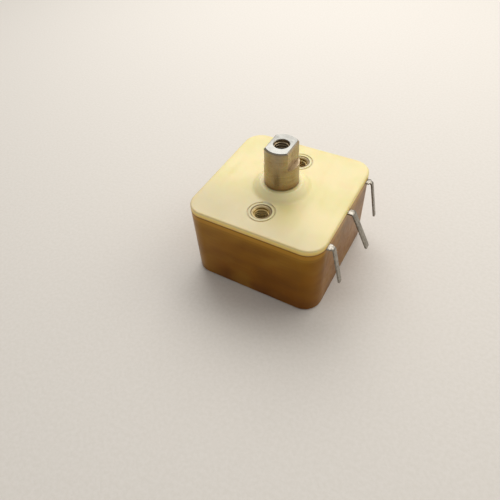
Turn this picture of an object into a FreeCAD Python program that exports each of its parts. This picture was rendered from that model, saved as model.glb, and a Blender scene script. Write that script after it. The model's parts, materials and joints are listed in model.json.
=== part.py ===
import FreeCAD, Part
import math
import os
import re

import Sketcher
from FreeCAD import Rotation, Vector

# Two-gang variable tuning capacitor with plastic-film dielectric.
# The origin is the middle of the cover's base, +Z runs up the shaft, +X points to the
# solder terminals, and the two threaded inserts stand in line along Y.

# Driving sizes in millimetres and degrees. Every other size is worked out from these.
SIZES = {
    # case
    "plate_side": 25.0,
    "corner_radius": 3.3,
    "flange_thickness": 1.0,
    "rim_rounding": 0.3,
    "cover_height": 14.5,
    "wall": 1.0,
    "floor_thickness": 1.0,
    "base_rounding": 0.4,
    "spigot_depth": 1.2,
    "spigot_clearance": 0.15,
    # raised bearing boss
    "boss_base_radius": 5.0,
    "boss_top_radius": 3.75,
    "boss_height": 1.2,
    "boss_blend": 1.0,
    "boss_rounding": 0.25,
    # shaft
    "shaft_radius": 3.0,
    "bearing_step": 0.5,
    "collar_lift": 0.1,
    "shaft_reach": 8.6,
    "flats_length": 3.4,
    "flats_across": 4.3,
    "shaft_edge": 0.25,
    "end_hole_radius": 1.3,
    "end_hole_depth": 5.0,
    "end_hole_chamfer": 0.1,
    "running_clearance": 0.03,
    "thrust_clearance": 0.15,
    "drive_radius": 2.0,
    "drive_across": 3.0,
    "journal_radius": 1.5,
    "journal_tail": 0.3,
    # threaded inserts
    "insert_radius": 1.8,
    "insert_length": 2.8,
    "insert_wall": 0.8,
    "insert_sink": 0.1,
    "insert_spacing": 15.0,
    "insert_bore_radius": 1.3,
    "insert_chamfer": 0.2,
    "waist_depth": 0.2,
    "waist_length": 1.0,
    "ring_offset": 0.4,
    "ring_width": 0.2,
    "ring_depth": 0.12,
    # stator posts
    "post_margin": 2.7,
    "post_radius": 0.9,
    "post_head_radius": 1.3,
    "post_head_height": 0.4,
    "post_tail": 0.15,
    "tail_clearance": 0.2,
    "nut_height": 0.85,
    "nut_across": 3.2,
    "spacer_radius": 1.6,
    # solder terminals
    "strip_width": 1.3,
    "strip_thickness": 0.3,
    "strip_clearance": 0.1,
    "eyelet_margin": 0.1,
    "strip_projection": 0.65,
    "bend_radius": 0.3,
    "leg_length": 7.2,
    "leg_width_near": 0.95,
    "leg_width_middle": 1.3,
    "leg_width_far": 0.8,
    "leg_tip_radius": 0.3,
    "lean_near": 13.0,
    "lean_middle": 26.0,
    "lean_far": 12.0,
    "fork_arm_width": 0.7,
    "fork_web": 1.0,
    "fork_depth": 2.6,
    "fork_clearance": 0.02,
    # leaves and films
    "front_gap": 1.3,
    "rear_gap": 0.5,
    "leaf_thickness": 0.2,
    "rotor_clearance": 1.05,
    "hub_radius": 2.6,
    "hub_clearance": 0.5,
    "stator_margin": 0.2,
    "stator_setback": 0.6,
    "film_thickness": 0.08,
    "film_gap": 0.3,
    "film_hole_clearance": 0.3,
    # turning stop and rear bearing
    "stop_thickness": 0.5,
    "stop_disc_radius": 3.6,
    "stop_tab_radius": 4.5,
    "stop_tab_angle": 30.0,
    "stop_travel": 180.0,
    "stop_slack": 2.0,
    "rib_clearance": 0.3,
    "rib_width": 0.8,
    "rib_depth": 1.0,
    "ring_thickness": 0.4,
    "rear_thickness": 1.0,
}

# A gang is five stator leaves with four rotor leaves between them.
STATORS_PER_GANG = 5
ROTORS_PER_GANG = STATORS_PER_GANG - 1
LEVELS_PER_GANG = STATORS_PER_GANG + ROTORS_PER_GANG
LEVELS = 2 * LEVELS_PER_GANG + 1

# Rotation of each gang's leaves about the shaft: the gangs stand opposite each other.
GANG_TURNS = {"a": 0.0, "b": 180.0}
GANG_FIRST_LEVEL = {"a": 0, "b": LEVELS_PER_GANG + 1}

# Heights above the base, as formulas of the driving sizes.
SEAM = "cover_height"
PLATE_TOP = "(cover_height + flange_thickness)"
BOSS_TOP = "(cover_height + flange_thickness + boss_height)"
SHAFT_TOP = "(cover_height + flange_thickness + shaft_reach)"
UNDERSIDE = "(cover_height - spigot_depth)"
SHOULDER = f"({UNDERSIDE} - thrust_clearance)"
STOP_BOTTOM = f"({SHOULDER} - stop_thickness)"
INSERT_TOP = f"({PLATE_TOP} - insert_sink)"
INSERT_BOTTOM = f"({INSERT_TOP} - insert_length)"
WAIST_BOTTOM = f"({INSERT_TOP} - insert_length / 2 - waist_length / 2)"
WAIST_TOP = f"({WAIST_BOTTOM} + waist_length)"
TAIL_END = "(floor_thickness + tail_clearance)"
REAR_BOTTOM = f"({TAIL_END} + post_tail + nut_height)"
REAR_TOP = f"({REAR_BOTTOM} + rear_thickness)"
JOURNAL_TOP = f"({REAR_TOP} + thrust_clearance)"
RING_TOP = f"({JOURNAL_TOP} + ring_thickness)"
STACK_TOP = f"({UNDERSIDE} - front_gap)"
STACK_BOTTOM = f"({REAR_TOP} + rear_gap)"
PITCH = f"(({STACK_TOP} - {STACK_BOTTOM} - leaf_thickness) / {LEVELS - 1})"

# Distances from the shaft's axis.
COVER_INSIDE = "(plate_side / 2 - wall)"
INSIDE_CORNER = "(corner_radius - wall)"
SPIGOT_REACH = f"({COVER_INSIDE} - spigot_clearance)"
SPIGOT_CORNER = f"({INSIDE_CORNER} - spigot_clearance)"
FILM_REACH = f"({COVER_INSIDE} - film_gap)"
FILM_CORNER = f"({INSIDE_CORNER} - film_gap)"
POST_OFFSET = f"({COVER_INSIDE} - post_margin)"
STATOR_CORNER = "(spacer_radius + stator_margin)"
STATOR_REACH = f"({POST_OFFSET} + {STATOR_CORNER})"
ROTOR_RADIUS = f"({POST_OFFSET} * sqrt(2) - spacer_radius - rotor_clearance)"
EYELET_RADIUS = "(spacer_radius + eyelet_margin)"
BEND_START = "(plate_side / 2 + strip_projection)"
BEARING_RADIUS = "(shaft_radius - bearing_step)"
FORK_INNER = f"({BEARING_RADIUS} + fork_clearance)"
FORK_OUTER = f"({FORK_INNER} + fork_arm_width)"
FORK_HEEL = f"({FORK_OUTER} + fork_web)"
RIB_INNER = "(stop_disc_radius + rib_clearance)"
RIB_OUTER = f"({RIB_INNER} + rib_width)"

POST_SIGNS = [(1, 1), (-1, 1), (-1, -1), (1, -1)]

doc = FreeCAD.newDocument("TuningCapacitor")
sheet = doc.addObject("Spreadsheet::Sheet", "Dims")
for row, (alias, size) in enumerate(SIZES.items(), start=1):
    sheet.set(f"A{row}", alias)
    sheet.set(f"B{row}", str(size))
    sheet.setAlias(f"B{row}", alias)
doc.recompute()

pieces = []


# ---------------------------------------------------------------- helpers

def formula(text):
    """Write a size formula for the expression engine, with the sheet's name before each size."""
    return re.sub(r"[a-z]\w*", lambda word: "Dims." * (word.group() in SIZES) + word.group(), str(text))


def number(text):
    """The present value of a size formula."""
    return float(sheet.evalExpression(formula(text)))


def new_piece(name, turn=0.0):
    """Start a named piece, turned about the shaft's axis."""
    body = doc.addObject("PartDesign::Body", name)
    body.Label = name
    body.Placement = FreeCAD.Placement(Vector(0, 0, 0), Rotation(Vector(0, 0, 1), turn))
    pieces.append(body)
    return body


def new_sketch(body, name, plane, offset):
    """A sketch on one of the piece's own origin planes, moved along that plane's normal."""
    sketch = body.newObject("Sketcher::SketchObject", name)
    origin_plane = [item for item in body.Origin.OriginFeatures if item.Role == plane][0]
    sketch.AttachmentSupport = [(origin_plane, "")]
    sketch.MapMode = "FlatFace"
    sketch.setExpression("AttachmentOffset.Base.z", formula(offset))
    return sketch


def fix(sketch, kind, *place, size):
    """Add one dimension to a sketch and tie it to its formula."""
    index = sketch.addConstraint(Sketcher.Constraint(kind, *place, number(size)))
    sketch.setExpression(f"Constraints[{index}]", formula(size))


def fix_point(sketch, edge, vertex, x, y):
    fix(sketch, "DistanceX", -1, 1, edge, vertex, size=x)
    fix(sketch, "DistanceY", -1, 1, edge, vertex, size=y)


def circle(sketch, x, y, radius):
    """A circle about the point x, y."""
    shape = Part.Circle(Vector(number(x), number(y), 0), Vector(0, 0, 1), number(radius))
    edge = sketch.addGeometry(shape, False)
    fix(sketch, "Radius", edge, size=radius)
    fix_point(sketch, edge, 3, x, y)


def arc(sketch, x, y, radius, first, last):
    """An arc about x, y from angle first to angle last; returns its entry and exit ends."""
    angles = [number(first), number(last)]
    low, high = sorted(angles)
    whole = Part.Circle(Vector(number(x), number(y), 0), Vector(0, 0, 1), number(radius))
    edge = sketch.addGeometry(Part.ArcOfCircle(whole, math.radians(low), math.radians(high)), False)
    fix(sketch, "Radius", edge, size=radius)
    fix_point(sketch, edge, 3, x, y)
    ends = []
    for angle, text in zip(angles, (first, last)):
        vertex = 1 if angle == low else 2
        if abs(math.sin(math.radians(angle))) > math.sqrt(0.5):
            fix(sketch, "DistanceX", -1, 1, edge, vertex, size=f"{x} + {radius} * cos({text})")
        else:
            fix(sketch, "DistanceY", -1, 1, edge, vertex, size=f"{y} + {radius} * sin({text})")
        place = Vector(number(f"{x} + {radius} * cos({text})"), number(f"{y} + {radius} * sin({text})"), 0)
        ends.append((edge, vertex, place))
    return ends


def outline(sketch, elements):
    """A closed outline. Each element is a corner (x, y) or an arc (x, y, radius, first angle,
    last angle), and a straight line joins each element to the next."""
    ends = []
    for element in elements:
        if len(element) == 2:
            place = Vector(number(element[0]), number(element[1]), 0)
            ends.append([(None, None, place)] * 2)
        else:
            ends.append(arc(sketch, *element))
    lines = []
    for index in range(len(elements)):
        start = ends[index][1][2]
        finish = ends[(index + 1) % len(elements)][0][2]
        lines.append(sketch.addGeometry(Part.LineSegment(start, finish), False))
    for index, element in enumerate(elements):
        before, after = lines[index - 1], lines[index]
        if len(element) == 2:
            sketch.addConstraint(Sketcher.Constraint("Coincident", before, 2, after, 1))
            fix_point(sketch, after, 1, *element)
        else:
            entry, leave = ends[index]
            sketch.addConstraint(Sketcher.Constraint("Coincident", before, 2, entry[0], entry[1]))
            sketch.addConstraint(Sketcher.Constraint("Coincident", after, 1, leave[0], leave[1]))


def rectangle(sketch, left, right, low, high):
    outline(sketch, [(left, low), (right, low), (right, high), (left, high)])


def rounded_square(sketch, reach, corner):
    """A square about the axis, from -reach to reach, with rounded corners."""
    middle = f"({reach} - {corner})"
    outline(sketch, [(middle, middle, corner, 0, 90), (f"-{middle}", middle, corner, 90, 180),
                     (f"-{middle}", f"-{middle}", corner, 180, 270),
                     (middle, f"-{middle}", corner, 270, 360)])


def flatted_circle(sketch, radius, across):
    """A circle about the axis with two flats at x = plus and minus across / 2."""
    edge = f"(acos({across} / 2 / {radius}) / 1 deg)"
    outline(sketch, [(0, 0, radius, edge, f"180 - {edge}"),
                     (0, 0, radius, f"180 + {edge}", f"360 - {edge}")])


def sector(sketch, inner, outer, first, last):
    """Part of a ring about the axis."""
    outline(sketch, [(0, 0, outer, first, last), (0, 0, inner, last, first)])


def finish(body, feature, sketch):
    """Hide the sketch behind its feature and make the feature the piece's latest state."""
    sketch.Visibility = False
    body.Tip = feature
    doc.recompute()


def pad(body, name, bottom, top, draw, *sizes):
    """Add material between two heights, with the outline that draw makes."""
    sketch = new_sketch(body, name + "_sketch", "XY_Plane", bottom)
    draw(sketch, *sizes)
    feature = body.newObject("PartDesign::Pad", name)
    feature.Profile = sketch
    feature.setExpression("Length", formula(f"{top} - {bottom}"))
    finish(body, feature, sketch)
    return feature


def pocket(body, name, bottom, top, draw, *sizes):
    """Take material away between two heights, with the outline that draw makes."""
    before = body.Shape.Volume
    sketch = new_sketch(body, name + "_sketch", "XY_Plane", top)
    draw(sketch, *sizes)
    feature = body.newObject("PartDesign::Pocket", name)
    feature.Profile = sketch
    feature.setExpression("Length", formula(f"{top} - {bottom}"))
    finish(body, feature, sketch)
    if body.Shape.Volume >= before:
        raise RuntimeError(f"{name} cuts nothing")
    return feature


def edges_where(feature, test):
    """Names of a feature's edges that pass a test."""
    return [f"Edge{index}" for index, edge in enumerate(feature.Shape.Edges, start=1) if test(edge)]


def level_edge(height):
    """A test for edges that lie flat at one height."""
    level = number(height)
    return lambda edge: abs(edge.BoundBox.ZMin - level) < 1e-4 and abs(edge.BoundBox.ZMax - level) < 1e-4


def round_edge(height, radius):
    """A test for circular edges of one radius that lie flat at one height."""
    flat, wanted = level_edge(height), number(radius)
    return lambda edge: (flat(edge) and hasattr(edge.Curve, "Radius")
                         and abs(edge.Curve.Radius - wanted) < 1e-4)


def ease(body, kind, name, base, size_name, size, test):
    """Fillet or chamfer the edges of a feature that pass a test."""
    feature = body.newObject(f"PartDesign::{kind}", name)
    feature.Base = (base, edges_where(base, test))
    feature.setExpression(size_name, formula(size))
    body.Tip = feature
    doc.recompute()
    return feature


def at_posts(sketch, radii, signs=POST_SIGNS):
    """Circles about some of the four stator posts."""
    for sign_x, sign_y in signs:
        for radius in radii:
            circle(sketch, f"{sign_x} * {POST_OFFSET}", f"{sign_y} * {POST_OFFSET}", radius)


def at_inserts(sketch, *radii):
    """Circles about both threaded inserts."""
    for sign in (1, -1):
        for radius in radii:
            circle(sketch, 0, f"{sign} * insert_spacing / 2", radius)


def fork(sketch, clearance, strip_end):
    """The middle terminal's flat part: a strip that forks round the shaft, grown by a clearance."""
    inner = f"({FORK_INNER} - {clearance})"
    outer = f"({FORK_OUTER} + {clearance})"
    heel = f"({FORK_HEEL} + {clearance})"
    web = f"({FORK_OUTER} - {clearance})"
    tip = f"(-fork_depth - {clearance})"
    half = f"(strip_width / 2 + {clearance})"
    outline(sketch, [(strip_end, f"-{half}"), (strip_end, half), (heel, half), (heel, outer), (tip, outer),
                     (tip, inner), (web, inner), (web, f"-{inner}"), (tip, f"-{inner}"), (tip, f"-{outer}"),
                     (heel, f"-{outer}"), (heel, f"-{half}")])


# ---------------------------------------------------------------- case

def front_plate():
    """Moulded front plate: flange, spigot, bearing boss, insert bosses and stop rib."""
    body = new_piece("front_plate")
    pad(body, "plate_spigot", INSERT_BOTTOM, SEAM, rounded_square, SPIGOT_REACH, SPIGOT_CORNER)

    def all_but_insert_bosses(sketch):
        rectangle(sketch, "-plate_side", "plate_side", "-plate_side", "plate_side")
        at_inserts(sketch, "insert_radius + insert_wall")

    pocket(body, "insert_bosses", INSERT_BOTTOM, UNDERSIDE, all_but_insert_bosses)
    flange = pad(body, "plate_flange", SEAM, PLATE_TOP, rounded_square, "(plate_side / 2)", "corner_radius")
    ease(body, "Fillet", "plate_rim", flange, "Radius", "rim_rounding", level_edge(PLATE_TOP))

    sketch = new_sketch(body, "boss_sketch", "XZ_Plane", 0)
    outline(sketch, [(0, SEAM), ("boss_base_radius", SEAM), ("boss_base_radius", PLATE_TOP),
                     ("boss_top_radius", BOSS_TOP), (0, BOSS_TOP)])
    boss = body.newObject("PartDesign::Revolution", "boss")
    boss.Profile = sketch
    boss.ReferenceAxis = (sketch, ["V_Axis"])
    boss.Angle = 360
    finish(body, boss, sketch)
    for name, height, radius, size in (("boss_blend_edge", PLATE_TOP, "boss_base_radius", "boss_blend"),
                                       ("boss_top_edge", BOSS_TOP, "boss_top_radius", "boss_rounding")):
        boss = ease(body, "Fillet", name, boss, "Radius", size, round_edge(height, radius))

    rib_end = "(stop_tab_angle / 2 + stop_slack / 2 + stop_travel / 2)"
    pad(body, "stop_rib", f"({UNDERSIDE} - rib_depth)", UNDERSIDE, sector,
        RIB_INNER, RIB_OUTER, rib_end, f"360 - {rib_end}")

    pocket(body, "bearing_bore", UNDERSIDE, BOSS_TOP, circle,
           0, 0, f"({BEARING_RADIUS} + running_clearance)")
    pocket(body, "insert_seats", INSERT_BOTTOM, PLATE_TOP, at_inserts, "insert_radius")
    pad(body, "insert_keys", WAIST_BOTTOM, WAIST_TOP, at_inserts,
        "insert_radius", "insert_radius - waist_depth")
    pocket(body, "insert_rings", f"({PLATE_TOP} - ring_depth)", PLATE_TOP, at_inserts,
           "insert_radius + ring_offset", "insert_radius + ring_offset + ring_width")

    pocket(body, "post_head_seats", SEAM, f"({SEAM} + post_head_height)", at_posts, ["post_head_radius"])
    pocket(body, "post_holes", UNDERSIDE, SEAM, at_posts, ["post_radius"])
    pocket(body, "eyelet_recesses", UNDERSIDE, SEAM, at_posts,
           [f"{EYELET_RADIUS} + strip_clearance"], [(1, 1), (1, -1)])
    for name, sign in (("near", -1), ("far", 1)):
        pocket(body, f"{name}_groove", UNDERSIDE, SEAM, rectangle, POST_OFFSET, SPIGOT_REACH,
               f"({sign} * {POST_OFFSET} - strip_width / 2 - strip_clearance)",
               f"({sign} * {POST_OFFSET} + strip_width / 2 + strip_clearance)")
    pocket(body, "fork_recess", UNDERSIDE, SEAM, fork, "strip_clearance", SPIGOT_REACH)


def cover():
    """Deep moulded cover, open at the top, with a notch in its rim for each terminal."""
    body = new_piece("cover")
    block = pad(body, "cover_block", 0, SEAM, rounded_square, "(plate_side / 2)", "corner_radius")
    ease(body, "Fillet", "cover_base_edge", block, "Radius", "base_rounding", level_edge(0))
    pocket(body, "cover_inside", "floor_thickness", SEAM, rounded_square, COVER_INSIDE, INSIDE_CORNER)

    def notches(sketch):
        for sign in (-1, 0, 1):
            rectangle(sketch, f"({COVER_INSIDE} - wall)", "(plate_side / 2 + wall)",
                      f"({sign} * {POST_OFFSET} - strip_width / 2 - strip_clearance)",
                      f"({sign} * {POST_OFFSET} + strip_width / 2 + strip_clearance)")

    pocket(body, "terminal_notches", f"({SEAM} - strip_thickness - strip_clearance)", SEAM, notches)


def threaded_inserts():
    """Two brass inserts moulded into the front plate, each with a waist that locks it in."""
    body = new_piece("threaded_inserts")
    pad(body, "insert_barrels", INSERT_BOTTOM, INSERT_TOP, at_inserts, "insert_radius", "insert_bore_radius")
    waist = pocket(body, "insert_waists", WAIST_BOTTOM, WAIST_TOP, at_inserts,
                   "insert_radius", "insert_radius - waist_depth")
    ease(body, "Chamfer", "insert_mouths", waist, "Size", "insert_chamfer",
         round_edge(INSERT_TOP, "insert_bore_radius"))


def rear_plate():
    """Insulating rear plate that carries the rear journal of the shaft."""
    body = new_piece("rear_plate")
    pad(body, "rear_board", REAR_BOTTOM, REAR_TOP, rounded_square, FILM_REACH, FILM_CORNER)
    pocket(body, "rear_bearing", REAR_BOTTOM, REAR_TOP, circle, 0, 0, "(journal_radius + running_clearance)")
    pocket(body, "rear_post_holes", REAR_BOTTOM, REAR_TOP, at_posts, ["post_radius"])


# ---------------------------------------------------------------- posts

def corner_posts():
    """Four headed posts that hang the stators and the rear plate from the front plate."""
    body = new_piece("corner_posts")
    pad(body, "post_heads", SEAM, f"({SEAM} + post_head_height)", at_posts, ["post_head_radius"])
    pad(body, "post_shanks", TAIL_END, SEAM, at_posts, ["post_radius"])


def post_nuts():
    """Four hexagon nuts under the rear plate."""
    body = new_piece("post_nuts")

    def hexagons(sketch):
        circumradius = "(nut_across / sqrt(3))"
        for sign_x, sign_y in POST_SIGNS:
            outline(sketch, [(f"{sign_x} * {POST_OFFSET} + {circumradius} * cos({turn})",
                              f"{sign_y} * {POST_OFFSET} + {circumradius} * sin({turn})")
                             for turn in range(0, 360, 60)])
        at_posts(sketch, ["post_radius"])

    pad(body, "nut_blanks", f"({REAR_BOTTOM} - nut_height)", REAR_BOTTOM, hexagons)


def level_top(level):
    """Height of the upper face of the leaf at one level of the stack."""
    return f"({STACK_TOP} - {level} * {PITCH})"


def level_bottom(level):
    return f"({level_top(level)} - leaf_thickness)"


def post_spacers():
    """Rings on the posts between the fixed leaves, and the longer sleeves above and below them."""
    body = new_piece("post_spacers")
    ring = ["spacer_radius", "post_radius"]
    for gang, sign_y in (("a", -1), ("b", 1)):
        first = GANG_FIRST_LEVEL[gang]
        last = first + LEVELS_PER_GANG - 1
        terminal_post, plain_post = [(1, sign_y)], [(-1, sign_y)]
        pad(body, f"sleeve_{gang}_terminal", level_top(first), f"({SEAM} - strip_thickness)",
            at_posts, ring, terminal_post)
        pad(body, f"sleeve_{gang}_plain", level_top(first), UNDERSIDE, at_posts, ring, plain_post)
        for level in range(first, last, 2):
            pad(body, f"ring_{gang}_{level}", level_top(level + 2), level_bottom(level),
                at_posts, ring, terminal_post + plain_post)
        pad(body, f"sleeve_{gang}_rear", REAR_TOP, level_bottom(last),
            at_posts, ring, terminal_post + plain_post)


# ---------------------------------------------------------------- terminals

def bent_leg(body, name, offset_y, width, lean):
    """A strip from the cover's wall over the rim and down the side, leaning out from the case."""
    outer = "(bend_radius + strip_thickness)"
    centre_z = f"({SEAM} - {outer})"
    elements = [(COVER_INSIDE, SEAM), (BEND_START, centre_z, outer, 90, lean)]
    for radius in (outer, "bend_radius"):
        elements.append((f"({BEND_START} + {radius} * cos({lean}) + leg_length * sin({lean}))",
                         f"({centre_z} + {radius} * sin({lean}) - leg_length * cos({lean}))"))
    elements.append((BEND_START, centre_z, "bend_radius", lean, 90))
    elements.append((COVER_INSIDE, f"({SEAM} - strip_thickness)"))
    sketch = new_sketch(body, f"{name}_sketch", "XZ_Plane", f"-1 * {offset_y}")
    outline(sketch, elements)
    leg = body.newObject("PartDesign::Pad", name)
    leg.Profile = sketch
    leg.Midplane = True
    leg.setExpression("Length", formula(width))
    finish(body, leg, sketch)
    tip_height = number(f"{centre_z} - leg_length * cos({lean}) + {outer}")
    ease(body, "Fillet", f"{name}_tip", leg, "Radius", "leg_tip_radius",
         lambda edge: edge.BoundBox.ZMax < tip_height and edge.BoundBox.YLength < 1e-4
         and abs(edge.Length - number("strip_thickness")) < 1e-4)


def stator_terminal(name, sign, width, lean):
    """A terminal with an eyelet under a post's head."""
    body = new_piece(name)
    bottom = f"({SEAM} - strip_thickness)"
    offset = f"({sign} * {POST_OFFSET})"
    pad(body, f"{name}_eyelet", bottom, SEAM, circle, POST_OFFSET, offset, EYELET_RADIUS)
    pad(body, f"{name}_strip", bottom, SEAM, rectangle, f"({POST_OFFSET} + post_radius)", BEND_START,
        f"({offset} - strip_width / 2)", f"({offset} + strip_width / 2)")
    bent_leg(body, f"{name}_leg", offset, width, lean)
    pocket(body, f"{name}_hole", bottom, SEAM, circle, POST_OFFSET, offset, "post_radius")


def rotor_terminal():
    """The middle terminal, which forks round the shaft and rubs on it."""
    body = new_piece("terminal_middle")
    pad(body, "fork_blank", f"({SEAM} - strip_thickness)", SEAM, fork, 0, BEND_START)
    bent_leg(body, "terminal_middle_leg", "0", "leg_width_middle", "lean_middle")


# ---------------------------------------------------------------- leaves and films

def stator_leaf(gang, index):
    """A fixed leaf on two posts, notched round the rotor's hub."""
    level = GANG_FIRST_LEVEL[gang] + 2 * index
    bottom, top = level_bottom(level), level_top(level)
    body = new_piece(f"stator_leaf_{gang}_{index + 1}", GANG_TURNS[gang])
    pad(body, f"stator_{gang}_{index}_blank", bottom, top, outline,
        [(f"-{STATOR_REACH}", "-stator_setback"),
         (f"-{POST_OFFSET}", f"-{POST_OFFSET}", STATOR_CORNER, 180, 270),
         (POST_OFFSET, f"-{POST_OFFSET}", STATOR_CORNER, 270, 360),
         (STATOR_REACH, "-stator_setback")])
    pocket(body, f"stator_{gang}_{index}_notch", bottom, top, circle, 0, 0, "(hub_radius + hub_clearance)")
    pocket(body, f"stator_{gang}_{index}_holes", bottom, top, at_posts, ["post_radius"], [(1, -1), (-1, -1)])


def rotor_leaf(gang, index):
    """A half-round moving leaf with a hub that fits the shaft's flats."""
    level = GANG_FIRST_LEVEL[gang] + 2 * index + 1
    bottom, top = level_bottom(level), level_top(level)
    body = new_piece(f"rotor_leaf_{gang}_{index + 1}", GANG_TURNS[gang])
    pad(body, f"rotor_{gang}_{index}_vane", bottom, top, outline,
        [(0, 0, ROTOR_RADIUS, 180, 360)])
    pad(body, f"rotor_{gang}_{index}_hub", bottom, top, circle, 0, 0, "hub_radius")
    pocket(body, f"rotor_{gang}_{index}_hole", bottom, top, flatted_circle, "drive_radius", "drive_across")


def film(level, number_in_stack):
    """A square sheet of clear film, halfway between two levels of the stack."""
    middle = f"({STACK_TOP} - leaf_thickness / 2 - ({level} + 0.5) * {PITCH})"
    bottom, top = f"({middle} - film_thickness / 2)", f"({middle} + film_thickness / 2)"
    body = new_piece(f"film_{number_in_stack:02d}")
    name = f"film_{number_in_stack}"
    pad(body, f"{name}_sheet", bottom, top, rounded_square, FILM_REACH, FILM_CORNER)
    pocket(body, f"{name}_post_holes", bottom, top, at_posts, ["spacer_radius + film_hole_clearance"])
    pocket(body, f"{name}_hub_hole", bottom, top, circle, 0, 0, "(hub_radius + film_hole_clearance)")


# ---------------------------------------------------------------- rotor

def shaft():
    """Control shaft: knob end with two flats and a tapped hole, bearing, flatted drive and rear journal."""
    body = new_piece("shaft")
    knob_end_bottom = f"({BOSS_TOP} + collar_lift)"
    pad(body, "shaft_knob_end", knob_end_bottom, SHAFT_TOP, circle, 0, 0, "shaft_radius")
    pad(body, "shaft_bearing", SHOULDER, knob_end_bottom, circle, 0, 0, BEARING_RADIUS)
    pad(body, "shaft_drive", JOURNAL_TOP, SHOULDER, flatted_circle, "drive_radius", "drive_across")
    pad(body, "shaft_journal", f"({REAR_BOTTOM} - journal_tail)", JOURNAL_TOP, circle,
        0, 0, "journal_radius")
    flats_bottom = f"({SHAFT_TOP} - flats_length)"

    def outside_flats(sketch):
        for sign in (-1, 1):
            inner, outer = f"({sign} * flats_across / 2)", f"({sign} * 2 * shaft_radius)"
            rectangle(sketch, inner, outer, "-2 * shaft_radius", "2 * shaft_radius")

    flats = pocket(body, "knob_flats", flats_bottom, SHAFT_TOP, outside_flats)
    ease(body, "Chamfer", "shaft_end_edge", flats, "Size", "shaft_edge", level_edge(SHAFT_TOP))
    hole = pocket(body, "end_hole", f"({SHAFT_TOP} - end_hole_depth)", SHAFT_TOP, circle,
                  0, 0, "end_hole_radius")
    ease(body, "Chamfer", "end_hole_mouth", hole, "Size", "end_hole_chamfer",
         round_edge(SHAFT_TOP, "end_hole_radius"))


def stop_washer():
    """Washer under the shaft's shoulder, with the tab that meets the stop rib."""
    body = new_piece("stop_washer")
    pad(body, "stop_disc", STOP_BOTTOM, SHOULDER, circle, 0, 0, "stop_disc_radius")
    pad(body, "stop_tab", STOP_BOTTOM, SHOULDER, sector, "hub_radius", "stop_tab_radius",
        "(90 - stop_tab_angle / 2)", "(90 + stop_tab_angle / 2)")
    pocket(body, "stop_hole", STOP_BOTTOM, SHOULDER, flatted_circle, "drive_radius", "drive_across")


def rotor_collar(body, name, bottom, top):
    """A ring of hub size on the shaft's drive section."""
    pad(body, name, bottom, top, circle, 0, 0, "hub_radius")


def rotor_spacers():
    """Collars on the shaft between the moving leaves, from the stop washer to the retaining ring."""
    body = new_piece("rotor_spacers")
    levels = [GANG_FIRST_LEVEL[gang] + 2 * index + 1
              for gang in GANG_TURNS for index in range(ROTORS_PER_GANG)]
    tops = [STOP_BOTTOM] + [level_bottom(level) for level in levels]
    bottoms = [level_top(level) for level in levels] + [RING_TOP]
    for index, (top, bottom) in enumerate(zip(tops, bottoms), start=1):
        rotor_collar(body, f"collar_{index}", bottom, top)
    pocket(body, "collar_hole", RING_TOP, STOP_BOTTOM, flatted_circle, "drive_radius", "drive_across")


def retaining_ring():
    """Ring pressed on the end of the drive section, which keeps the rotor stack tight."""
    body = new_piece("retaining_ring")
    rotor_collar(body, "ring_blank", JOURNAL_TOP, RING_TOP)
    pocket(body, "ring_hole", JOURNAL_TOP, RING_TOP, flatted_circle, "drive_radius", "drive_across")


# ---------------------------------------------------------------- assembly

front_plate()
cover()
threaded_inserts()
rear_plate()
corner_posts()
post_nuts()
post_spacers()
stator_terminal("terminal_near", -1, "leg_width_near", "lean_near")
rotor_terminal()
stator_terminal("terminal_far", 1, "leg_width_far", "lean_far")
for gang_name in GANG_TURNS:
    for leaf in range(STATORS_PER_GANG):
        stator_leaf(gang_name, leaf)
    for leaf in range(ROTORS_PER_GANG):
        rotor_leaf(gang_name, leaf)
for gap in range(LEVELS - 1):
    film(gap, gap + 1)
shaft()
stop_washer()
rotor_spacers()
retaining_ring()

doc.recompute()
for item in doc.Objects:
    if "Invalid" in item.State or "Error" in item.State:
        raise RuntimeError(f"{item.Name} failed: {item.State}")
for piece in pieces:
    if piece.Shape.isNull() or not piece.Shape.isValid():
        raise RuntimeError(f"{piece.Label} has no valid shape")

os.makedirs("parts", exist_ok=True)
for piece in pieces:
    piece.Shape.exportStep(f"parts/{piece.Label}.step")
    box = piece.Shape.BoundBox
    print(f"{piece.Label}: {len(piece.Shape.Solids)} solids, {piece.Shape.Volume:.3f} mm3, "
          f"z {box.ZMin:.2f} to {box.ZMax:.2f}")
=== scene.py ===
import json
import math

import bmesh
import bpy
from mathutils import Matrix, Vector


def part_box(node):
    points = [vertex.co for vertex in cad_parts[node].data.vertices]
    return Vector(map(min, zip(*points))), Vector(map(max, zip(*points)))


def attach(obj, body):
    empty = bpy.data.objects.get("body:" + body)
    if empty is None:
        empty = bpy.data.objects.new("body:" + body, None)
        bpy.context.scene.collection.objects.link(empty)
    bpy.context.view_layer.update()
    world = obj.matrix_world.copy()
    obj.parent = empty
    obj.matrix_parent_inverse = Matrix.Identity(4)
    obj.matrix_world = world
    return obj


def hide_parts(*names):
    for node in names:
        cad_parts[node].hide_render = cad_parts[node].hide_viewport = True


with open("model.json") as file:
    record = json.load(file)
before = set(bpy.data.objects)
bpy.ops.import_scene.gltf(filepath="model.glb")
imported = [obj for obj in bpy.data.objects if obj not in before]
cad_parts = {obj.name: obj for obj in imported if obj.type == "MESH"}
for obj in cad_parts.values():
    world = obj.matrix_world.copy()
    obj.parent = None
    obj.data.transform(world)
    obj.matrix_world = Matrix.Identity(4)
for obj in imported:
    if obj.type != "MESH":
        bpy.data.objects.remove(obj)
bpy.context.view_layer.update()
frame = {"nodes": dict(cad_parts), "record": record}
nodes = frame["nodes"]
record = frame["record"]

MM = 0.001


# ---------------------------------------------------------------- places, from the frame

def mount(name):
    """One mount of the record."""
    return [entry for entry in record["mounts"] if entry["name"] == name][0]


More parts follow.
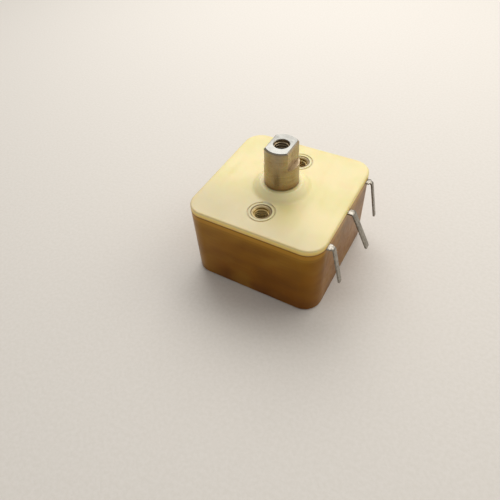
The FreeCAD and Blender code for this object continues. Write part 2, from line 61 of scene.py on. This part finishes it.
cover_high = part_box("cover")[1]
insert_low, insert_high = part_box("threaded_inserts")
SEAM = cover_high[2]
FACE = mount("front_face")["pos_m"][2]
HALF = cover_high[0]
SHAFT_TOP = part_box("shaft")[1][2]
BORE_RADIUS = mount("panel_screws")["dims"]["hole_r_mm"] * MM
INSERT_Y = mount("panel_screws")["dims"]["spacing_y_mm"] * MM / 2

# The M2.6 thread, how far its ridge bites into the wall, and the chamfer above it in an insert.
THREAD_PITCH = 0.45 * MM
THREAD_DEPTH = 0.24 * MM
THREAD_BITE = 0.02 * MM
INSERT_CHAMFER = 0.2 * MM

# The rounding of a terminal's edges.
TERMINAL_EDGE = 0.07 * MM

# Details that only the finishes follow, in millimetres.
BOSS_TONE_START = 3.8
BOSS_TONE_END = 5.3
INSERT_RADIUS = 1.8
INSERT_RING_RADIUS = 2.3
SPIGOT_DEPTH = 1.2


# ---------------------------------------------------------------- materials

def from_screen(red, green, blue):
    """A colour given as 0 to 255 on screen, as the shader's linear values."""
    def line(value):
        part = value / 255
        return part / 12.92 if part <= 0.04045 else ((part + 0.055) / 1.055) ** 2.4
    return (line(red), line(green), line(blue), 1.0)


class Wire:
    """A shader socket that takes part in sums; each sum adds one Math node."""

    def __init__(self, finish, socket):
        self.finish = finish
        self.socket = socket

    def sum(self, operation, first, second):
        return self.finish.node("ShaderNodeMath", {"operation": operation}, {0: first, 1: second})

    def __add__(self, other):
        return self.sum("ADD", self, other)

    __radd__ = __add__

    def __sub__(self, other):
        return self.sum("SUBTRACT", self, other)

    def __rsub__(self, other):
        return self.sum("SUBTRACT", other, self)

    def __mul__(self, other):
        return self.sum("MULTIPLY", self, other)

    __rmul__ = __mul__

    def __abs__(self):
        return self.sum("ABSOLUTE", self, 0.0)


class Finish:
    """One procedural material, with distances in millimetres on the object."""

    def __init__(self, name):
        self.material = bpy.data.materials.new(name)
        self.material.use_nodes = True
        self.tree = self.material.node_tree
        self.shader = [node for node in self.tree.nodes if node.type == "BSDF_PRINCIPLED"][0]
        place = self.node("ShaderNodeTexCoord", {}, {}, "Object")
        self.place = self.node("ShaderNodeMapping", {}, {"Vector": place, "Scale": (1 / MM,) * 3})
        split = self.node("ShaderNodeSeparateXYZ", {}, {"Vector": self.place})
        self.x, self.y, self.z = [Wire(self, out) for out in split.socket.node.outputs]

    def node(self, kind, settings, values, output=0):
        """Adds a node: its settings first, then the values or links of its sockets."""
        node = self.tree.nodes.new(kind)
        for key, setting in settings.items():
            if key == "stops":
                while len(node.color_ramp.elements) < len(setting):
                    node.color_ramp.elements.new(0.5)
                for element, (position, colour) in zip(node.color_ramp.elements, setting):
                    element.position = position
                    element.color = colour
            else:
                setattr(node, key, setting)
        for key, value in values.items():
            self.feed(node.inputs[key], value)
        return Wire(self, node.outputs[output])

    def feed(self, socket, value):
        if isinstance(value, Wire):
            self.tree.links.new(value.socket, socket)
        else:
            socket.default_value = value

    def set(self, **values):
        """Sets the shader's sockets; an underscore stands for a space in a socket's name."""
        for key, value in values.items():
            self.feed(self.shader.inputs[key.replace("_", " ")], value)

    def noise(self, size, detail=3.0, rough=0.55, stretch=(1, 1, 1), seed=0.0):
        """Cloudy noise from 0 to 1 whose features are about size mm across."""
        placed = self.node("ShaderNodeMapping", {},
                           {"Vector": self.place, "Location": (seed, seed, seed), "Scale": stretch})
        return self.node("ShaderNodeTexNoise", {},
                         {"Vector": placed, "Scale": 1 / size, "Detail": detail, "Roughness": rough})

    def ramp(self, value, low, high, low_out=0.0, high_out=1.0, kind="SMOOTHSTEP"):
        """Carries value from low..high to low_out..high_out, smoothly and clamped."""
        return self.node("ShaderNodeMapRange", {"interpolation_type": kind},
                         {0: value, 1: low, 2: high, 3: low_out, 4: high_out})

    def larger(self, first, second):
        return self.node("ShaderNodeMath", {"operation": "MAXIMUM"}, {0: first, 1: second})

    def smaller(self, first, second):
        return self.node("ShaderNodeMath", {"operation": "MINIMUM"}, {0: first, 1: second})

    def root(self, value):
        return self.node("ShaderNodeMath", {"operation": "SQRT"}, {0: value, 1: 0.0})

    def wave(self, value):
        return self.node("ShaderNodeMath", {"operation": "SINE"}, {0: value, 1: 0.0})

    def radius(self, centre_x=0.0, centre_y=0.0):
        """Distance in mm from a line along Z."""
        across, along = self.x - centre_x, self.y - centre_y
        return self.root(across * across + along * along)

    def blend(self, amount, first, second):
        """Mixes two colours by an amount from 0 to 1."""
        return self.node("ShaderNodeMix", {"data_type": "RGBA"}, {0: amount, 6: first, 7: second}, 2)

    def bump(self, height, depth, under=None):
        """A Bump node; height runs from 0 to 1 and depth is its size in mm."""
        values = {"Height": height, "Distance": depth * MM, "Strength": 1.0}
        if under is not None:
            values["Normal"] = under
        return self.node("ShaderNodeBump", {}, values)


def ivory_plastic():
    """Moulded plate: waxy cream plastic, honey-coloured where its edges are seen through."""
    finish = Finish("ivory_plastic")
    face = FACE / MM
    clouds = finish.ramp(finish.noise(6.0, 2.0), 0.35, 0.68)
    colour = finish.blend(clouds, from_screen(237, 222, 166), from_screen(229, 217, 152))
    blush = finish.ramp(finish.noise(4.0, 2.0, seed=21.0), 0.5, 0.75)
    colour = finish.blend(blush * 0.5, colour, from_screen(238, 214, 160))
    # Painted shade: the plate is painted greyer towards its front edge, as if less light reaches it
    # there.
    shaded_front = finish.ramp(finish.y + finish.x * 0.25, -12.0, -3.0, 1.0, 0.0)
    colour = finish.blend(shaded_front * 0.8, colour, from_screen(208, 194, 154))
    edge = finish.larger(abs(finish.x), abs(finish.y))
    near_edge = finish.ramp(edge, HALF / MM - 1.0, HALF / MM)
    colour = finish.blend(near_edge * 0.3, colour, from_screen(222, 196, 130))
    side = finish.ramp(finish.z, face - 1.0, face - 0.1, 1.0, 0.0, "LINEAR")
    honey = finish.node("ShaderNodeValToRGB", {"stops": [
        (0.0, from_screen(244, 224, 160)), (0.3, from_screen(250, 220, 132)),
        (0.75, from_screen(252, 208, 106)), (0.93, from_screen(226, 170, 80)),
        (1.0, from_screen(104, 62, 20))]}, {"Fac": side})
    colour = finish.blend(finish.ramp(side, 0.0, 0.18), colour, honey)
    from_shaft = finish.radius()
    # Painted light: the flank of the raised collar round the shaft, between BOSS_TONE_START and
    # BOSS_TONE_END, is painted lighter, as if more brightly lit.
    boss_flank_light = finish.ramp(from_shaft, BOSS_TONE_START - 0.5, BOSS_TONE_START)
    boss_flank_light = boss_flank_light * finish.ramp(from_shaft, BOSS_TONE_END - 1.1, BOSS_TONE_END, 1.0, 0.0)
    colour = finish.blend(boss_flank_light * 0.85, colour, from_screen(248, 236, 186))
    # Painted shade: darker in the creases at the base of the shaft and at each insert's edge, and along
    # the thin ring line outside each insert, broken up by noise.
    shaft_radius = mount("shaft")["dims"]["r_mm"]
    crease_shade = finish.ramp(from_shaft, shaft_radius, shaft_radius + 0.2, 0.6, 0.0)
    for sign in (-1, 1):
        from_insert = finish.radius(0.0, sign * INSERT_Y / MM)
        crease_shade = crease_shade + finish.ramp(abs(from_insert - INSERT_RING_RADIUS), 0.05, 0.3, 0.4, 0.0)
        crease_shade = crease_shade + finish.ramp(from_insert, INSERT_RADIUS, INSERT_RADIUS + 0.15, 0.8, 0.0)
    patchy = finish.ramp(finish.noise(0.7, 4.0, 0.6, seed=13.0), 0.3, 0.7, 0.5, 1.0)
    colour = finish.blend(finish.smaller(crease_shade * patchy, 0.85), colour, from_screen(150, 126, 84))
    fine = finish.noise(0.12, 4.0, 0.6)
    scuffs = finish.noise(0.8, 5.0, 0.7, (1.0, 0.12, 1.0), 4.0)
    rough = 0.3 + 0.16 * finish.ramp(scuffs, 0.4, 0.72) + 0.05 * fine
    normal = finish.bump(finish.noise(2.6, 2.0, 0.5, seed=9.0), 0.03)
    normal = finish.bump(fine, 0.004, normal)
    finish.set(Base_Color=colour, Roughness=rough, Normal=normal, IOR=1.5, Subsurface_Weight=0.5,
               Subsurface_Scale=1.2 * MM, Subsurface_Radius=(1.0, 0.66, 0.32))
    return finish.material


def amber_plastic():
    """Moulded cover: deep amber plastic, lighter round the plate's spigot and darker over the stack."""
    finish = Finish("amber_plastic")
    seam = SEAM / MM
    height = finish.ramp(finish.z, 0.0, seam, kind="LINEAR")
    wander = finish.noise(7.0, 1.5, 0.5, (1.0, 1.0, 1.5), 2.0)
    depth = finish.node("ShaderNodeValToRGB", {"stops": [
        (0.0, from_screen(108, 62, 14)), (0.2, from_screen(126, 76, 16)),
        (0.55, from_screen(142, 92, 20)), (0.88, from_screen(152, 104, 26)),
        (1.0, from_screen(160, 112, 32))]},
        {"Fac": height + (wander - 0.5) * 0.6})
    # Painted light: the +X wall is painted lighter, as if lit from that side.
    lit_right_wall = finish.ramp(finish.x, HALF / MM - 2.4, HALF / MM - 0.4)
    colour = finish.blend(lit_right_wall * 0.5, depth, from_screen(154, 104, 30))
    left = finish.ramp(finish.x, -HALF / MM, -4.0, 1.0, 0.0)
    colour = finish.blend(left * 0.5, colour, from_screen(180, 134, 50))
    blotches = finish.ramp(finish.noise(6.0, 1.5, 0.45, (1.0, 1.0, 2.0), 17.0), 0.38, 0.66)
    colour = finish.blend(blotches * 0.3, colour, from_screen(96, 54, 14))
    glow = finish.ramp(finish.noise(7.0, 1.0, 0.4, (1.0, 1.0, 1.6), 31.0), 0.48, 0.72)
    colour = finish.blend(glow * 0.35, colour, from_screen(172, 126, 44))
    spigot = finish.ramp(finish.z, seam - SPIGOT_DEPTH - 0.7, seam - SPIGOT_DEPTH + 0.5)
    colour = finish.blend(spigot * 0.65, colour, from_screen(200, 146, 52))
    ledge = finish.ramp(abs(finish.z - (seam - SPIGOT_DEPTH)), 0.03, 0.3, 1.0, 0.0)
    colour = finish.blend(ledge * 0.22, colour, from_screen(96, 58, 22))
    joint = finish.ramp(finish.z, seam - 0.3, seam - 0.05)
    colour = finish.blend(joint * 0.7, colour, from_screen(104, 64, 22))
    leaf_pitch, stack_low, stack_high = 0.9, 3.0, 12.6
    layers = finish.wave(finish.z * (2 * math.pi / leaf_pitch)) * 0.5 + 0.5
    stack = finish.ramp(finish.z, stack_low, stack_low + 1.2)
    stack = stack * finish.ramp(finish.z, stack_high - 1.0, stack_high, 1.0, 0.0)
    inner = finish.ramp(finish.smaller(abs(finish.x), abs(finish.y)), 8.0, 10.5, 1.0, 0.0)
    broken = finish.ramp(finish.noise(3.5, 3.0, 0.6, (1, 1, 0.5), 6.0), 0.35, 0.65)
    colour = finish.blend(layers * stack * inner * broken * 0.12, colour, from_screen(84, 48, 16))
    fine = finish.noise(0.1, 4.0, 0.6)
    scuffs = finish.noise(1.2, 5.0, 0.7, (1.0, 1.0, 0.8), 3.0)
    rough = 0.26 + 0.14 * finish.ramp(scuffs, 0.42, 0.75) + 0.05 * fine
    normal = finish.bump(finish.noise(4.5, 2.0, 0.5, seed=5.0), 0.05)
    normal = finish.bump(fine, 0.003, normal)
    finish.set(Base_Color=colour, Roughness=rough, Normal=normal, IOR=1.5, Alpha=0.97,
               Specular_IOR_Level=0.13, Specular_Tint=(1.0, 0.68, 0.3, 1.0),
               Coat_Weight=0.02, Coat_Roughness=0.2, Subsurface_Weight=0.2,
               Subsurface_Scale=1.2 * MM, Subsurface_Radius=(1.0, 0.45, 0.15))
    return finish.material


def turned_metal():
    """Turned shaft: fine lines round the axis and on the end face, with patches of tarnish."""
    finish = Finish("shaft_metal")
    line = 0.06
    from_axis = finish.radius()
    rings = finish.noise(line, 2.0, 0.6, (0.02, 0.02, 1.0))
    face = finish.node("ShaderNodeTexNoise", {"noise_dimensions": "1D"},
                       {"W": from_axis, "Scale": 1 / line, "Detail": 2.0})
    marks = rings * 0.6 + face * 0.4
    patches = finish.ramp(finish.noise(1.6, 4.0, 0.65, seed=7.0), 0.45, 0.75)
    tone = finish.blend(finish.ramp(marks, 0.35, 0.7), from_screen(180, 165, 140),
                        from_screen(148, 130, 102))
    tone = finish.blend(patches * 0.4, tone, from_screen(128, 96, 66))
    # Painted shade: darker brown towards the base of the shaft, where it meets the plate, with an edge
    # broken up by the tarnish patches.
    shaded_foot = finish.ramp(finish.z + patches, FACE / MM + 1.2, FACE / MM + 3.4, 1.0, 0.0)
    tone = finish.blend(shaded_foot * 0.6, tone, from_screen(148, 108, 66))
    end = finish.ramp(finish.z, SHAFT_TOP / MM - 0.12, SHAFT_TOP / MM - 0.02)
    tone = finish.blend(end * 0.9, tone, from_screen(142, 143, 140))
    rough = 0.27 + 0.12 * patches + 0.14 * finish.ramp(marks, 0.4, 0.7)
    finish.set(Base_Color=tone, Metallic=1.0, Roughness=rough, Normal=finish.bump(marks, 0.006))
    return finish.material


def moulded_in_brass():
    """Insert brass: bright and threaded in the bore, with a dull coat of resin over the end face, painted
    darker on its +X half and at its outer edge as shade.
    """
    finish = Finish("brass")
    marks = finish.noise(0.05, 2.0, 0.6, (0.02, 0.02, 1.0))
    bright = finish.blend(finish.ramp(marks, 0.35, 0.7), from_screen(220, 196, 138),
                          from_screen(176, 150, 96))
    skin_cover = finish.ramp(finish.z, insert_high[2] / MM - 0.16, insert_high[2] / MM - 0.03)
    near = finish.smaller(finish.radius(0.0, -INSERT_Y / MM), finish.radius(0.0, INSERT_Y / MM))
    worn = finish.ramp(finish.noise(0.5, 4.0, 0.6, seed=5.0), 0.45, 0.7)
    skin_and_shade = finish.blend(worn * 0.6, from_screen(226, 206, 154), from_screen(196, 174, 124))
    # Painted shade: the end face is painted darker on its +X half, as if shaded on that side.
    skin_and_shade = finish.blend(finish.ramp(finish.x, -0.6, 1.6) * 0.85, skin_and_shade, from_screen(130, 108, 70))
    # Painted shade: darker in the crease at the outer edge of each insert's face.
    rim_shade = finish.ramp(near, INSERT_RADIUS - 0.3, INSERT_RADIUS - 0.04)
    skin_and_shade = finish.blend(rim_shade, skin_and_shade, from_screen(112, 88, 46))
    colour = finish.blend(skin_cover, bright, skin_and_shade)
    rough = 0.3 + 0.2 * skin_cover + 0.1 * worn
    finish.set(Base_Color=colour, Metallic=1.0 - 0.85 * skin_cover, Roughness=rough,
               Normal=finish.bump(marks * 0.5 + worn * 0.5, 0.012))
    return finish.material


def tinned_metal():
    """Terminal strip, dipped in solder: smooth lumps, grey bloom and bright rubbed spots."""
    finish = Finish("tinned_metal")
    lumps = finish.noise(0.9, 3.0, 0.5)
    bloom = finish.ramp(finish.noise(0.5, 4.0, 0.6, seed=3.0), 0.4, 0.7)
    colour = finish.blend(bloom, from_screen(156, 151, 141), from_screen(128, 122, 111))
    rough = 0.26 + 0.2 * bloom
    normal = finish.bump(lumps, 0.08)
    normal = finish.bump(finish.noise(0.07, 3.0), 0.004, normal)
    finish.set(Base_Color=colour, Metallic=0.95, Roughness=rough, Normal=normal)
    return finish.material


def plain_metal(name, colour, dull, rough):
    """Rolled or plated sheet metal with faint streaks."""
    finish = Finish(name)
    streaks = finish.noise(0.25, 3.0, 0.6, (1.0, 0.08, 1.0))
    colour = finish.blend(finish.ramp(streaks, 0.35, 0.7), colour, dull)
    finish.set(Base_Color=colour, Metallic=1.0, Roughness=rough + 0.15 * streaks,
               Normal=finish.bump(streaks, 0.003))
    return finish.material


def clear_film():
    """Clear dielectric film, seen mostly at its edges."""
    finish = Finish("film")
    haze = finish.noise(2.5, 3.0)
    colour = finish.blend(finish.ramp(haze, 0.35, 0.7), from_screen(214, 196, 150),
                          from_screen(190, 168, 116))
    finish.set(Base_Color=colour, Roughness=0.2 + 0.1 * haze, Alpha=0.5, IOR=1.45)
    return finish.material


def laminated_board():
    """Brown laminated board with a fine weave."""
    finish = Finish("board")
    weave = finish.wave(finish.x * 16.0) * finish.wave(finish.y * 16.0)
    clouds = finish.noise(1.2, 4.0)
    colour = finish.blend(finish.ramp(clouds, 0.3, 0.7), from_screen(110, 66, 34),
                          from_screen(86, 50, 26))
    finish.set(Base_Color=colour, Roughness=0.4 + 0.2 * clouds, Normal=finish.bump(weave, 0.006))
    return finish.material


def pale_floor():
    """Plain pale floor with a faint grain."""
    finish = Finish("pale_floor")
    grain = finish.noise(0.6, 5.0, 0.6)
    colour = finish.blend(finish.ramp(grain, 0.3, 0.7), from_screen(226, 221, 214),
                          from_screen(221, 216, 208))
    finish.set(Base_Color=colour, Roughness=0.75, Normal=finish.bump(grain, 0.02))
    return finish.material


finishes = {
    "ivory_plastic": ivory_plastic(),
    "amber_plastic": amber_plastic(),
    "brass": moulded_in_brass(),
    "shaft_metal": turned_metal(),
    "tinned_metal": tinned_metal(),
    "steel": plain_metal("steel", from_screen(186, 186, 184), from_screen(150, 150, 150), 0.3),
    "brass_spacer": plain_metal("brass_spacer", from_screen(214, 180, 110),
                                from_screen(180, 146, 84), 0.3),
    "leaf_metal": plain_metal("leaf_metal", from_screen(206, 206, 204),
                              from_screen(176, 176, 174), 0.3),
    "film": clear_film(),
    "board": laminated_board(),
}

for part in record["subparts"]:
    mesh = nodes[part["node"]].data
    mesh.materials.clear()
    mesh.materials.append(finishes[part["material_slot"]])


# ---------------------------------------------------------------- new pieces

def add_piece(name, build, finish, body):
    """Makes a piece from a bmesh, gives it its finish and lets it ride on a body."""
    mesh = bpy.data.meshes.new(name)
    build.to_mesh(mesh)
    build.free()
    mesh.materials.append(finishes[finish])
    piece = bpy.data.objects.new(name, mesh)
    bpy.context.scene.collection.objects.link(piece)
    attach(piece, body)
    return piece


def thread(name, finish, body, centre, low, high, radius):
    """The ridge of a screw thread on the wall of a bore, from height low to height high."""
    steps_per_turn = 40
    turns = (high - low - THREAD_PITCH) / THREAD_PITCH
    steps = int(turns * steps_per_turn)
    build = bmesh.new()
    root, crest = radius + THREAD_BITE, radius - THREAD_DEPTH
    root_half, crest_half = 0.46, 0.07
    profile = [(root, -root_half), (root, root_half), (crest, crest_half), (crest, -crest_half)]
    corners = [build.verts.new((centre[0] + reach, centre[1], low + (0.5 + rise) * THREAD_PITCH))
               for reach, rise in profile]
    face = build.faces.new(corners)
    bmesh.ops.spin(build, geom=[face, *face.edges, *corners], cent=(centre[0], centre[1], low),
                   axis=(0, 0, 1), dvec=(0, 0, THREAD_PITCH / steps_per_turn), angle=turns * 2 * math.pi,
                   steps=steps, use_merge=False)
    bmesh.ops.remove_doubles(build, verts=build.verts, dist=1e-7)
    bmesh.ops.recalc_face_normals(build, faces=build.faces)
    for side in build.faces:
        side.smooth = True
    return add_piece(name, build, finish, body)


def softened(node, width):
    """A copy of a CAD piece with its sharp edges rounded, shown in its place."""
    build = bmesh.new()
    build.from_mesh(nodes[node].data)
    bmesh.ops.remove_doubles(build, verts=build.verts, dist=1e-6)
    bmesh.ops.dissolve_limit(build, angle_limit=math.radians(1.0), verts=build.verts, edges=build.edges)
    least_angle = math.radians(40)
    sharp = [edge for edge in build.edges if edge.is_manifold and edge.calc_face_angle() > least_angle]
    bmesh.ops.bevel(build, geom=sharp, offset=width, offset_type="OFFSET", segments=3, profile=0.5,
                    affect="EDGES", material=-1, clamp_overlap=True)
    for face in build.faces:
        face.smooth = True
    part = [entry for entry in record["subparts"] if entry["node"] == node][0]
    piece = add_piece(f"{node}_soft", build, part["material_slot"], "housing")
    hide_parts(node)


for side in ("near", "middle", "far"):
    softened(f"terminal_{side}", TERMINAL_EDGE)
for side, sign in (("near", -1), ("far", 1)):
    thread(f"insert_thread_{side}", "brass", "housing", (0.0, sign * INSERT_Y),
           insert_low[2], insert_high[2] - INSERT_CHAMFER, BORE_RADIUS)
end_hole = mount("shaft_end")
end_middle, end_reach = end_hole["pos_m"][2], end_hole["dims"]["length_mm"] / 2 * MM
thread("shaft_end_thread", "shaft_metal", "rotor", (0.0, 0.0),
       end_middle - end_reach, end_middle + end_reach, end_hole["dims"]["r_mm"] * MM)


# ---------------------------------------------------------------- floor, light and camera

def floor():
    build = bmesh.new()
    bmesh.ops.create_grid(build, x_segments=1, y_segments=1, size=1.5)
    mesh = bpy.data.meshes.new("floor")
    build.to_mesh(mesh)
    build.free()
    mesh.materials.append(pale_floor())
    piece = bpy.data.objects.new("floor", mesh)
    bpy.context.scene.collection.objects.link(piece)


def soft_light(name, azimuth, elevation, distance, size, watts, colour):
    """A square soft light that faces the middle of the object."""
    turn, rise = math.radians(azimuth), math.radians(elevation)
    back = Vector((math.sin(turn) * math.cos(rise), -math.cos(turn) * math.cos(rise), math.sin(rise)))
    data = bpy.data.lights.new(name, "AREA")
    data.size = size
    data.energy = watts
    data.color = colour
    light = bpy.data.objects.new(name, data)
    light.location = Vector((0, 0, SEAM / 2)) + back * distance
    light.rotation_euler = (-back).to_track_quat("-Z", "Y").to_euler()
    bpy.context.scene.collection.objects.link(light)


def surroundings():
    world = bpy.data.worlds.new("studio")
    world.use_nodes = True
    shade = world.node_tree.nodes["Background"]
    shade.inputs["Color"].default_value = (1.0, 0.98, 0.95, 1.0)
    shade.inputs["Strength"].default_value = 0.4
    bpy.context.scene.world = world


def camera():
    """A camera above the corner between the front wall and the terminals, 88.5 mm from its target."""
    azimuth, elevation, roll = math.radians(32.6), math.radians(48.1), math.radians(-4.36)
    target = Vector((-4.98 * MM, -4.05 * MM, 0.0))
    distance = 88.5 * MM
    back = Vector((math.sin(azimuth) * math.cos(elevation), -math.cos(azimuth) * math.cos(elevation),
                   math.sin(elevation)))
    data = bpy.data.cameras.new("camera")
    data.sensor_width = 36.0
    data.lens = 31.82
    data.clip_start = 0.005
    data.clip_end = 10.0
    eye = bpy.data.objects.new("camera", data)
    turn = (-back).to_track_quat("-Z", "Y").to_matrix().to_4x4()
    eye.matrix_world = Matrix.Translation(target + back * distance) @ turn @ Matrix.Rotation(roll, 4, "Z")
    bpy.context.scene.collection.objects.link(eye)
    bpy.context.scene.camera = eye


bpy.context.scene.view_settings.view_transform = "Standard"
floor()
soft_light("window", 208, 51, 0.26, 0.22, 0.45, (1.0, 0.985, 0.97))
soft_light("side_window", 138, 46, 0.3, 0.24, 0.31, (1.0, 0.96, 0.9))
surroundings()
camera()
